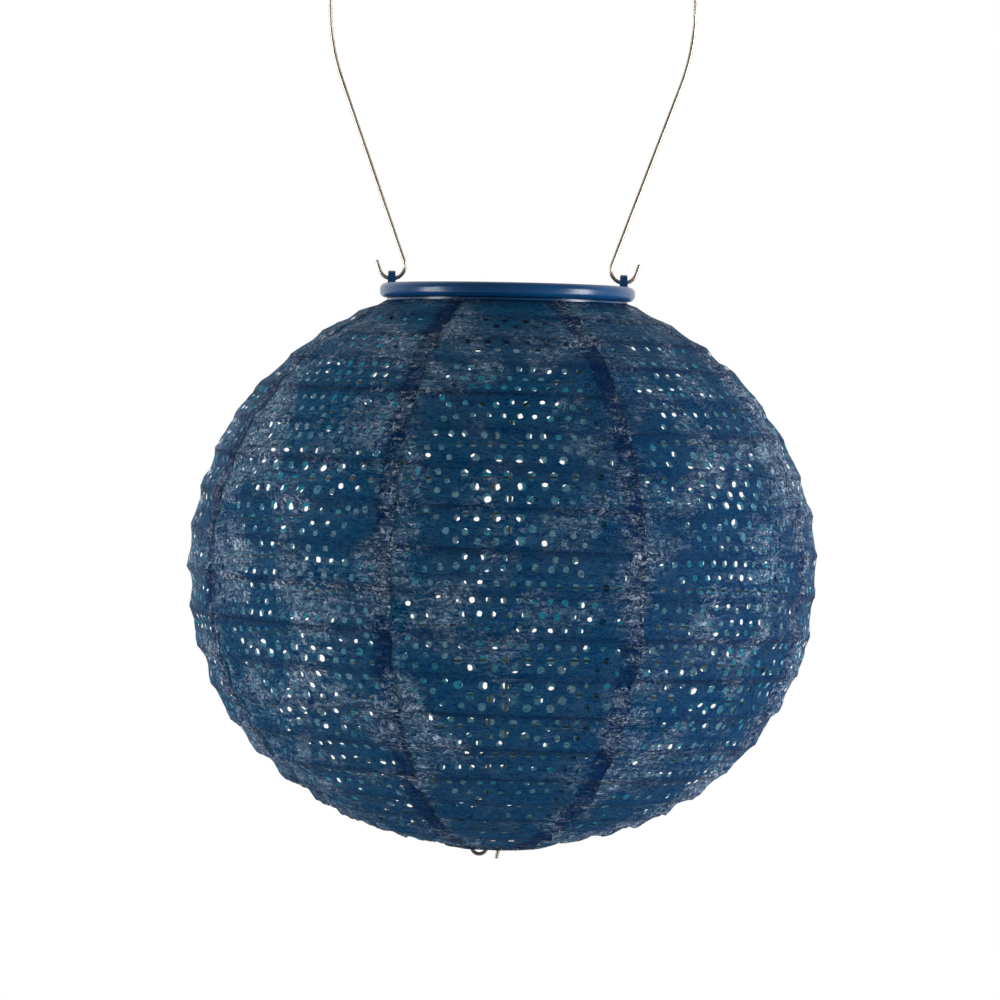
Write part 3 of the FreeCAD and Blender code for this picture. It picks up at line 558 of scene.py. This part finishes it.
class Shader:
    """A node material with a Principled shader, and short ways to add and link nodes."""

    def __init__(self, name, roughness=0.5, metallic=0.0, **sockets):
        self.material = bpy.data.materials.new(name)
        self.material.use_nodes = True
        self.tree = self.material.node_tree
        self.main = next(n for n in self.tree.nodes if n.type == "BSDF_PRINCIPLED")
        self.output = next(n for n in self.tree.nodes if n.type == "OUTPUT_MATERIAL")
        self.main.inputs["Roughness"].default_value = roughness
        self.main.inputs["Metallic"].default_value = metallic
        for socket, value in sockets.items():
            self.main.inputs[socket.replace("_", " ")].default_value = value

    def node(self, kind, **settings):
        made = self.tree.nodes.new("ShaderNode" + kind)
        for name, value in settings.items():
            setattr(made, name, value)
        return made

    def link(self, source, target):
        self.tree.links.new(source, target)

    def feed(self, socket, value):
        """Links an output to a socket, or sets a plain value on it."""
        if isinstance(value, bpy.types.NodeSocket):
            self.link(value, socket)
        else:
            socket.default_value = value

    def noise(self, vector, scale, detail=4.0, rough=0.55, distortion=0.0):
        made = self.node("TexNoise")
        self.link(vector, made.inputs["Vector"])
        made.inputs["Scale"].default_value = scale
        made.inputs["Detail"].default_value = detail
        made.inputs["Roughness"].default_value = rough
        made.inputs["Distortion"].default_value = distortion
        return made.outputs[0]

    def pattern(self, vector, recipe):
        """Noise by a recipe: a stretch, then scale, detail, roughness and distortion."""
        return self.noise(self.stretched(vector, recipe[0]), *recipe[1:])

    def math(self, operation, a, b=0.0, clamp=False):
        made = self.node("Math", operation=operation, use_clamp=clamp)
        self.feed(made.inputs[0], a)
        self.feed(made.inputs[1], b)
        return made.outputs[0]

    def span(self, value, low, high, to_low, to_high):
        """Maps a value from one range to another and clamps it there."""
        made = self.node("MapRange")
        self.link(value, made.inputs[0])
        for socket, number in zip(made.inputs[1:5], (low, high, to_low, to_high)):
            socket.default_value = number
        return made.outputs[0]

    def mix(self, share, a, b):
        """A colour between two colours or outputs."""
        made = self.node("Mix", data_type="RGBA")
        self.feed(made.inputs[0], share)
        self.feed(made.inputs[6], a if isinstance(a, bpy.types.NodeSocket) else (*a, 1.0))
        self.feed(made.inputs[7], b if isinstance(b, bpy.types.NodeSocket) else (*b, 1.0))
        return made.outputs[2]

    def bump(self, height, strength, distance, normal=None):
        made = self.node("Bump")
        made.inputs["Strength"].default_value = strength
        made.inputs["Distance"].default_value = distance
        self.link(height, made.inputs["Height"])
        if normal is not None:
            self.link(normal, made.inputs["Normal"])
        return made.outputs[0]

    def stretched(self, vector, scale):
        """A vector multiplied axis by axis."""
        made = self.node("Mapping")
        self.link(vector, made.inputs["Vector"])
        made.inputs["Scale"].default_value = scale
        return made.outputs[0]

    def position(self):
        return self.node("TexCoord").outputs["Object"]


# The fabric's noise, in millimetres of cloth: stretch, then scale, detail, roughness and distortion.
FIBRE_NOISE = ((0.42, 1.0, 1.0), 0.5, 3.0, 0.6, 1.8)
CRUSH_NOISE = ((0.8, 1.0, 1.0), 0.15, 4.0, 0.62, 1.4)
STROKE_NOISE = ((0.05, 0.34, 1.0), 1.0, 4.0, 0.6, 1.0)
BREAK_NOISE = ((1.0, 1.0, 1.0), 0.33, 3.0, 0.6, 0.4)
PATCH_NOISE = ((1.0, 1.0, 1.0), 0.032, 3.0, 0.5, 0.6)
# The fabric's colours. The fold navy is also painted shade in the rib valleys and a painted shadow along
# the seams. The pale worn colour is a painted highlight, and the dusty blue is partly painted sheen on the
# shade's sides.
DEEP_NAVY = (0.0001, 0.0135, 0.070)
DEEP_INDIGO = (0.0004, 0.016, 0.069)
MOTTLED_BLUE = (0.004, 0.026, 0.092)
DUSTY_SHEEN_BLUE = (0.078, 0.126, 0.220)
SWIRL_AND_SHADE_NAVY = (0.001, 0.008, 0.035)
PAINTED_GLINT_PALE = (0.64, 0.76, 0.92)
GLOW_TEAL = (0.05, 0.52, 0.74)
GLOW_PALE = (0.36, 0.60, 0.76)
FABRIC_SPECULAR = 0.02
CREASE_BUMP = (0.9, 0.0009)
FIBRE_BUMP = (0.8, 0.0009)


def fabric_material():
    """Navy spun-bonded polyethylene: swirling fibres, fine crumples and paler crushed patches. It also has
    painted shade below the ribs and along the seams, painted highlights on the crumples and painted sheen
    on the shade's sides.
    """
    s = Shader("spun_bonded_fabric", roughness=0.5, Specular_IOR_Level=FABRIC_SPECULAR)
    cloth = s.node("Attribute", attribute_name="cloth")
    parts = s.node("SeparateXYZ")
    s.link(cloth.outputs["Vector"], parts.inputs[0])
    crinkle_and_sheen = parts.outputs[2]
    flat_vector = s.node("CombineXYZ")
    s.link(parts.outputs[0], flat_vector.inputs[0])
    s.link(parts.outputs[1], flat_vector.inputs[1])
    flat = flat_vector.outputs[0]
    fold = s.node("Attribute", attribute_name="fold").outputs["Fac"]

    def near(value, level, width, strength):
        """A line where a noise passes a level."""
        away = s.math("ABSOLUTE", s.math("SUBTRACT", value, level))
        return s.span(away, 0.0, width, strength, 0.0)

    fibres = s.pattern(flat, FIBRE_NOISE)
    crush = s.pattern(flat, CRUSH_NOISE)
    strokes = s.pattern(flat, STROKE_NOISE)
    breaks = s.pattern(flat, BREAK_NOISE)
    patches = s.pattern(flat, PATCH_NOISE)
    # Where the cloth is crushed, in streaks across the gore, plus painted sheen on the shade's sides, where
    # the crinkle share is raised toward the side lamps.
    crushed_and_sheen = s.math("MULTIPLY", crinkle_and_sheen, 0.75)
    crushed_and_sheen = s.math("ADD", crushed_and_sheen, s.span(patches, 0.45, 0.70, -0.12, 0.5), True)
    crushed_and_sheen = s.math("MULTIPLY", crushed_and_sheen, s.span(strokes, 0.40, 0.57, 0.4, 1.2), True)
    # Painted highlights: pale lines and flecks that stand in for glints on the crumpled cloth, strongest
    # where it is crushed.
    line = s.math("MULTIPLY", near(crush, 0.5, 0.03, 1.0), s.span(breaks, 0.44, 0.53, 0.0, 1.0))
    fleck = near(fibres, 0.58, 0.03, 0.75)
    painted_glints = s.math("MULTIPLY", s.math("MAXIMUM", line, fleck), s.span(crushed_and_sheen, 0.15, 0.85, 0.03, 1.0), True)
    # Dark fibre swirls, plus painted shade just below each rib where the fold turns from the light, and a
    # painted shadow along each seam's lifted edge.
    painted_fold_shade = s.math("MULTIPLY", s.span(fold, 0.0, 0.34, 0.95, 0.0), s.span(strokes, 0.36, 0.56, 0.1, 1.0))
    painted_fold_shade = s.math("MAXIMUM", painted_fold_shade, s.span(fold, -0.6, -0.1, 0.9, 0.0))
    swirls_and_painted_shade = s.math("MAXIMUM", near(fibres, 0.49, 0.028, 0.85), painted_fold_shade)
    deep = s.mix(s.span(patches, 0.38, 0.66, 0.0, 1.0), DEEP_NAVY, DEEP_INDIGO)
    mottled = s.mix(s.span(strokes, 0.46, 0.58, 0.0, 0.9), deep, MOTTLED_BLUE)
    dusty_and_sheen = s.mix(s.span(crushed_and_sheen, 0.35, 1.05, 0.0, 0.75), mottled, DUSTY_SHEEN_BLUE)
    dark = s.mix(swirls_and_painted_shade, dusty_and_sheen, SWIRL_AND_SHADE_NAVY)
    s.link(s.mix(painted_glints, dark, PAINTED_GLINT_PALE), s.main.inputs["Base Color"])
    s.link(s.span(fibres, 0.35, 0.7, 0.5, 0.34), s.main.inputs["Roughness"])
    ridge = near(crush, 0.5, 0.12, 1.0)
    relief = s.math("MULTIPLY", s.math("SUBTRACT", 1.0, ridge), s.span(crushed_and_sheen, 0.0, 1.0, 0.35, 1.0))
    normal = s.bump(fibres, *FIBRE_BUMP, s.bump(relief, *CREASE_BUMP))
    s.link(normal, s.main.inputs["Normal"])
    glow = s.node("BsdfTranslucent")
    s.link(s.mix(s.span(patches, 0.35, 0.65, 0.0, 1.0), GLOW_TEAL, GLOW_PALE), glow.inputs["Color"])
    s.link(normal, glow.inputs["Normal"])
    both = s.node("MixShader")
    # Less translucent glow where the fibres are thick, and where shade is painted below the ribs and along
    # the seams.
    thick_and_painted_shade = s.math("MAXIMUM", s.math("MULTIPLY", painted_fold_shade, 0.7), s.span(fibres, 0.38, 0.52, 0.8, 0.0))
    s.link(s.span(thick_and_painted_shade, 0.0, 1.0, 0.36, 0.04), both.inputs[0])
    s.link(s.main.outputs[0], both.inputs[1])
    s.link(glow.outputs[0], both.inputs[2])
    s.link(both.outputs[0], s.output.inputs["Surface"])
    return s.material


# Noise on wires and mouldings, in metres: stretch, then scale, detail, roughness and distortion.
DRAW_LINES = ((300.0, 300.0, 12.0), 2.0, 3.0, 0.5)
STAINS = ((1.0, 1.0, 1.0), 90.0, 4.0, 0.6, 1.0)
FLOW_MARKS = ((1.0, 1.0, 1.0), 22.0, 3.0, 0.5, 0.5)
SCUFFS = ((30.0, 30.0, 160.0), 3.0, 5.0, 0.7, 1.4)
DRAW_BUMP = (0.05, 0.00003)
COAT_ROUGHNESS = 0.2


def wire_material(name, colour, dark, roughness):
    """Drawn stainless wire: fine draw lines along it and a little staining."""
    s = Shader(name, roughness=roughness, metallic=1.0)
    where = s.position()
    lines = s.pattern(where, DRAW_LINES)
    stains = s.pattern(where, STAINS)
    s.link(s.mix(s.span(stains, 0.4, 0.68, 0.0, 1.0), colour, dark), s.main.inputs["Base Color"])
    s.link(s.span(lines, 0.3, 0.7, roughness - 0.06, roughness + 0.08), s.main.inputs["Roughness"])
    s.link(s.bump(lines, *DRAW_BUMP), s.main.inputs["Normal"])
    return s.material


def plastic_material(name, colour, roughness, coat=0.0, grain=600.0, depth=0.00004, patch=0.12, gloss=0.5):
    """Moulded plastic: fine grain, faint flow marks and handling scuffs."""
    sockets = {"Coat_Weight": coat, "Coat_Roughness": COAT_ROUGHNESS, "Specular_IOR_Level": gloss}
    s = Shader(name, roughness=roughness, **sockets)
    where = s.position()
    flow = s.pattern(where, FLOW_MARKS)
    fine = s.noise(where, grain, 3.0, 0.6)
    scuffs = s.pattern(where, SCUFFS)
    lighter = tuple(min(1.0, c * (1 + 2.2 * patch) + 0.01 * patch) for c in colour)
    darker = tuple(c * (1 - patch) for c in colour)
    s.link(s.mix(s.span(flow, 0.35, 0.65, 0.0, 1.0), darker, lighter), s.main.inputs["Base Color"])
    s.link(s.span(scuffs, 0.45, 0.75, roughness, roughness + 0.14), s.main.inputs["Roughness"])
    s.link(s.bump(fine, 0.2, depth), s.main.inputs["Normal"])
    return s.material


FINGER_PITCH = 0.0022
FINGER_WIDTH = 0.00016
BUSBAR_PITCH = 0.0135
BUSBAR_WIDTH = 0.0009


def solar_material():
    """A dark blue cell with thin silver fingers and busbars."""
    s = Shader("solar_cell_face", roughness=0.22, Coat_Weight=0.6, Coat_Roughness=0.05)
    parts = s.node("SeparateXYZ")
    s.link(s.position(), parts.inputs[0])

    def stripes(axis, pitch, width):
        place = s.math("DIVIDE", s.math("ADD", parts.outputs[axis], 1.0), pitch)
        return s.math("LESS_THAN", s.math("FRACT", place), width / pitch)

    fingers = stripes(0, FINGER_PITCH, FINGER_WIDTH)
    bars = stripes(1, BUSBAR_PITCH, BUSBAR_WIDTH)
    silver = s.math("MAXIMUM", fingers, bars)
    crystals = s.node("TexVoronoi")
    s.link(s.position(), crystals.inputs["Vector"])
    crystals.inputs["Scale"].default_value = 190.0
    facets = s.span(crystals.outputs["Distance"], 0.0, 0.7, 0.0, 1.0)
    blue = s.mix(facets, (0.006, 0.010, 0.045), (0.015, 0.022, 0.085))
    s.link(s.mix(silver, blue, (0.42, 0.44, 0.46)), s.main.inputs["Base Color"])
    s.link(s.span(silver, 0.0, 1.0, 0.22, 0.4), s.main.inputs["Roughness"])
    return s.material


def glass_material():
    """Clear resin with a slight haze."""
    s = Shader("window_resin", roughness=0.06, Transmission_Weight=1.0, IOR=1.45)
    haze = s.noise(s.position(), 140.0, 4.0, 0.6, 1.0)
    s.link(s.span(haze, 0.4, 0.75, 0.03, 0.14), s.main.inputs["Roughness"])
    return s.material


def lens_material():
    """A frosted diffuser dome."""
    s = Shader("frosted_lens", roughness=0.55, Transmission_Weight=0.35)
    frost = s.noise(s.position(), 900.0, 3.0, 0.6)
    milk = s.noise(s.position(), 60.0, 3.0, 0.5)
    s.link(s.mix(milk, (0.74, 0.76, 0.76), (0.88, 0.89, 0.88)), s.main.inputs["Base Color"])
    s.link(s.bump(frost, 0.3, 0.00006), s.main.inputs["Normal"])
    return s.material


def board_material():
    """Green laminate with lighter tracks and solder pads."""
    s = Shader("board_laminate", roughness=0.42)
    cells = s.node("TexVoronoi")
    s.link(s.position(), cells.inputs["Vector"])
    cells.inputs["Scale"].default_value = 260.0
    tracks = s.span(cells.outputs["Distance"], 0.12, 0.2, 1.0, 0.0)
    green = s.mix(s.noise(s.position(), 70.0), (0.008, 0.075, 0.030), (0.014, 0.12, 0.05))
    s.link(s.mix(tracks, green, (0.55, 0.54, 0.50)), s.main.inputs["Base Color"])
    s.link(s.bump(cells.outputs["Distance"], 0.2, 0.0001), s.main.inputs["Normal"])
    return s.material


def paint_nodes():
    """Gives every CAD node that shows a material of its own."""
    cap_look = {"coat": 0.08, "patch": 0.1, "gloss": 0.3}
    navy = plastic_material("cap_navy_plastic", (0.001, 0.036, 0.115), 0.24, **cap_look)
    housing = plastic_material("housing_plastic", (0.012, 0.035, 0.08), 0.45, grain=900.0, depth=0.00008)
    black = plastic_material("black_plastic", (0.012, 0.012, 0.013), 0.4, grain=1200.0, depth=0.00008)
    frame_wire = wire_material("frame_wire_steel", (0.26, 0.24, 0.22), (0.13, 0.105, 0.08), 0.34)
    nickel = wire_material("nickel_contact", (0.62, 0.60, 0.55), (0.42, 0.38, 0.3), 0.24)
    materials = {
        "bail_wire": wire_material("bail_stainless", (0.46, 0.41, 0.36), (0.34, 0.28, 0.23), 0.28),
        "cap_shell": navy,
        "shade_collar": navy,
        "solar_panel": solar_material(),
        "panel_window": glass_material(),
        "panel_gasket": plastic_material("gasket_rubber", (0.01, 0.01, 0.01), 0.75, patch=0.2),
        "panel_leads": plastic_material("lead_insulation", (0.42, 0.02, 0.015), 0.4),
        "light_housing": housing,
        "battery_door": housing,
        "circuit_board": board_material(),
        "led_left": plastic_material("diode_epoxy", (0.78, 0.74, 0.52), 0.15, coat=0.5),
        "led_lens": lens_material(),
        "battery": plastic_material("battery_sleeve", (0.35, 0.42, 0.45), 0.25, coat=0.4),
        "battery_spring": nickel,
        "battery_contact": nickel,
        "switch_body": wire_material("switch_can", (0.5, 0.5, 0.5), (0.36, 0.35, 0.33), 0.36),
        "switch_slider": black,
        "housing_screws": wire_material("screw_zinc", (0.58, 0.58, 0.56), (0.4, 0.38, 0.33), 0.28),
        "top_hoop": frame_wire,
        "expander_wire": frame_wire,
        "bottom_ring": frame_wire,
    }
    materials["led_right"] = materials["led_left"]
    for name, material in materials.items():
        mesh = nodes[name].data
        mesh.materials.clear()
        mesh.materials.append(material)
    return frame_wire


# ---------------------------------------------------------------- pieces beside the gores

RIB_POINTS_A_TURN = 96
RIB_SIDES = 8
RIB_END_GAP = 8.0


def make_rib(material):
    """The spiral rib inside the fabric, from the first crossing of -X to just above the bottom ring."""
    turns = np.arange(0.0, RIB_TURNS, 1.0 / RIB_POINTS_A_TURN)
    lengths = rib_length(turns)
    turns = turns[lengths < FABRIC_LENGTH - RIB_END_GAP]
    line = on_shade(RIB_ZERO + 360.0 * turns, rib_length(turns), RIB_INSET)
    piece = tube_mesh("rib_spiral_wire", metres(line), RIB_WIRE * POINT_SCALE, RIB_SIDES)
    piece.data.materials.append(material)
    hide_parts("rib_spiral")
    collapses(piece)


HEM_REACH = 24.6
HEM_GAUGE = 1.35
HEM_LEVEL = -271.2
HEM_POINTS = 220
HEM_SIDES = 14
HEM_LUMPS = 2.6
HEM_REACH_VARIES = 0.15
HEM_GAUGE_VARIES = 0.25
HEM_CRINKLE = 0.8


def make_hem(material):
    """The fabric folded and glued round the bottom ring."""
    azimuth = np.linspace(0, 360, HEM_POINTS, endpoint=False)
    turn = np.radians(azimuth)
    wobble = smooth_noise(np.stack([np.cos(turn) * HEM_LUMPS, np.sin(turn) * HEM_LUMPS], axis=1), 3)
    reach = HEM_REACH + HEM_REACH_VARIES * wobble
    line = np.stack([reach * np.cos(turn), reach * np.sin(turn), np.full_like(turn, HEM_LEVEL)], axis=1)
    gauge = (HEM_GAUGE + HEM_GAUGE_VARIES * wobble) * POINT_SCALE
    piece = tube_mesh("bottom_hem", metres(line), gauge, HEM_SIDES, closed=True)
    cloth = piece.data.attributes.new("cloth", "FLOAT_VECTOR", "POINT")
    around = np.repeat(turn * HEM_REACH, HEM_SIDES)
    across = np.tile(np.linspace(0, 2 * math.pi * HEM_GAUGE, HEM_SIDES), HEM_POINTS)
    values = np.stack([around, across, np.full_like(around, HEM_CRINKLE)], axis=1)
    cloth.data.foreach_set("vector", values.astype(np.float32).ravel())
    piece.data.materials.append(material)
    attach(piece, "base_ring")


# ---------------------------------------------------------------- stage, lights and camera

CAMERA_DISTANCE = 2.17
CAMERA_LEVEL = -60.0
CAMERA_TILT = -1.17
CAMERA_ASIDE = -0.0017
CAMERA_ROLL = 1.1
LENS = 160.7
SENSOR_WIDTH = 36.0
CLIP_END = 200.0
FLOOR_LEVEL = -3.2
FLOOR_REACH = 15.0
FLOOR_CORNERS = 180
# The studio is dim in front of the lantern and bright behind it, by the direction's Y.
DARK_FRONT = 0.22
BRIGHT_BACK = 1.0
DIM_UNTIL = -0.1
BRIGHT_FROM = 0.4
# The two soft side banks: place and watts.
BANKS = {
    "left_bank": ((-1.6, -0.55, -0.45), 25.0),
    "right_bank": ((1.6, -0.6, -0.45), 44.0),
}
BANK_SIZE = (0.5, 1.2)


def make_stage():
    """A plain pale floor well below the lantern, and the studio around it."""
    turns = [2 * math.pi * corner / FLOOR_CORNERS for corner in range(FLOOR_CORNERS)]
    corners = [(FLOOR_REACH * math.cos(turn), FLOOR_REACH * math.sin(turn), FLOOR_LEVEL) for turn in turns]
    floor = mesh_object("pale_floor", corners, [tuple(range(FLOOR_CORNERS))], smooth=False)
    s = Shader("pale_floor_paint", roughness=0.85)
    tone = s.noise(s.position(), 0.6, 3.0)
    s.link(s.mix(tone, (0.93, 0.93, 0.93), (0.96, 0.96, 0.96)), s.main.inputs["Base Color"])
    floor.data.materials.append(s.material)
    world = bpy.data.worlds.new("white_studio")
    world.use_nodes = True
    tree = world.node_tree
    background = tree.nodes["Background"]
    where = tree.nodes.new("ShaderNodeTexCoord")
    parts = tree.nodes.new("ShaderNodeSeparateXYZ")
    tree.links.new(where.outputs["Generated"], parts.inputs[0])
    ramp = tree.nodes.new("ShaderNodeMapRange")
    ramp.interpolation_type = "SMOOTHSTEP"
    tree.links.new(parts.outputs[1], ramp.inputs[0])
    limits = (DIM_UNTIL, BRIGHT_FROM, DARK_FRONT, BRIGHT_BACK)
    for socket, number in zip(ramp.inputs[1:5], limits):
        socket.default_value = number
    tree.links.new(ramp.outputs[0], background.inputs[1])
    background.inputs[0].default_value = (1.0, 1.0, 1.0, 1.0)
    bpy.context.scene.world = world


def area_light(name, place, target, size, watts):
    """A rectangular light that faces its target."""
    data = bpy.data.lights.new(name, "AREA")
    data.shape = "RECTANGLE"
    data.size = size[0]
    data.size_y = size[1]
    data.energy = watts
    made = bpy.data.objects.new(name, data)
    bpy.context.scene.collection.objects.link(made)
    made.location = place
    made.rotation_euler = (Vector(target) - Vector(place)).to_track_quat("-Z", "Y").to_euler()


def make_lights():
    middle = (0.0, 0.0, (EQUATOR - HANG_HEIGHT) * POINT_SCALE)
    for name, (place, watts) in BANKS.items():
        area_light(name, place, middle, BANK_SIZE, watts)


def make_camera():
    data = bpy.data.cameras.new("camera")
    data.lens = LENS
    data.sensor_width = SENSOR_WIDTH
    data.clip_end = CLIP_END
    made = bpy.data.objects.new("camera", data)
    bpy.context.scene.collection.objects.link(made)
    made.location = (CAMERA_ASIDE, -CAMERA_DISTANCE, (CAMERA_LEVEL - HANG_HEIGHT) * POINT_SCALE)
    tilt = Matrix.Rotation(math.radians(90.0 + CAMERA_TILT), 3, "X")
    made.rotation_euler = (tilt @ Matrix.Rotation(math.radians(CAMERA_ROLL), 3, "Z")).to_euler()
    bpy.context.scene.camera = made


make_camera()
make_stage()
make_lights()
bpy.context.scene.view_settings.view_transform = "Standard"
frame_wire = paint_nodes()
make_rib(frame_wire)
fabric = fabric_material()
for gore in range(GORES):
    make_gore(gore, fabric)
make_hem(fabric)
